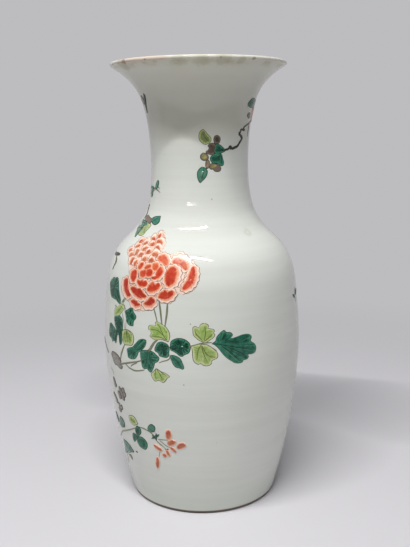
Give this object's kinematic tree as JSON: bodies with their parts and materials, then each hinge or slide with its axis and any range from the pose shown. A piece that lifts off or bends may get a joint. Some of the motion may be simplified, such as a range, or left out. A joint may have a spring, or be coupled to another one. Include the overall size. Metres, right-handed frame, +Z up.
{
  "type": "baluster vase",
  "caption": "Tall baluster vase with a trumpet mouth, narrow neck, rounded shoulders and a body tapering to a low foot ring; holds cut flowers or stands as decoration.",
  "frame": {"origin": "centre of the foot ring's standing face", "axes": "+Z up along the vase's axis of turning; -Y is the side that faces the viewer in the picture, with +X to the viewer's right"},
  "size_m": [0.1994, 0.1994, 0.4317],
  "materials": {
    "glazed_porcelain": "glossy clear glaze with a faint green-grey tint over white porcelain",
    "luting_slip": "porcelain slip under the same glaze",
    "biscuit": "porcelain, unglazed and toasted on the foot, glazed above it",
    "iron_red_enamel": "thin overglaze enamel, satin",
    "green_enamel": "thick translucent overglaze enamel, glossy",
    "light_green_enamel": "thick translucent overglaze enamel, glossy",
    "aubergine_enamel": "translucent brown-purple overglaze enamel, glossy",
    "black_line": "matt black drawing under the enamels"
  },
  "bodies": {
    "root": {"foot_ring": "biscuit", "base_floor": "glazed_porcelain", "floor_luting": "luting_slip", "foot_luting": "luting_slip", "lower_belly": "glazed_porcelain", "belly_luting": "luting_slip", "upper_belly": "glazed_porcelain", "shoulder_luting": "luting_slip", "neck": "glazed_porcelain", "neck_luting": "luting_slip", "mouth": "glazed_porcelain"}
  },
  "joints": []
}
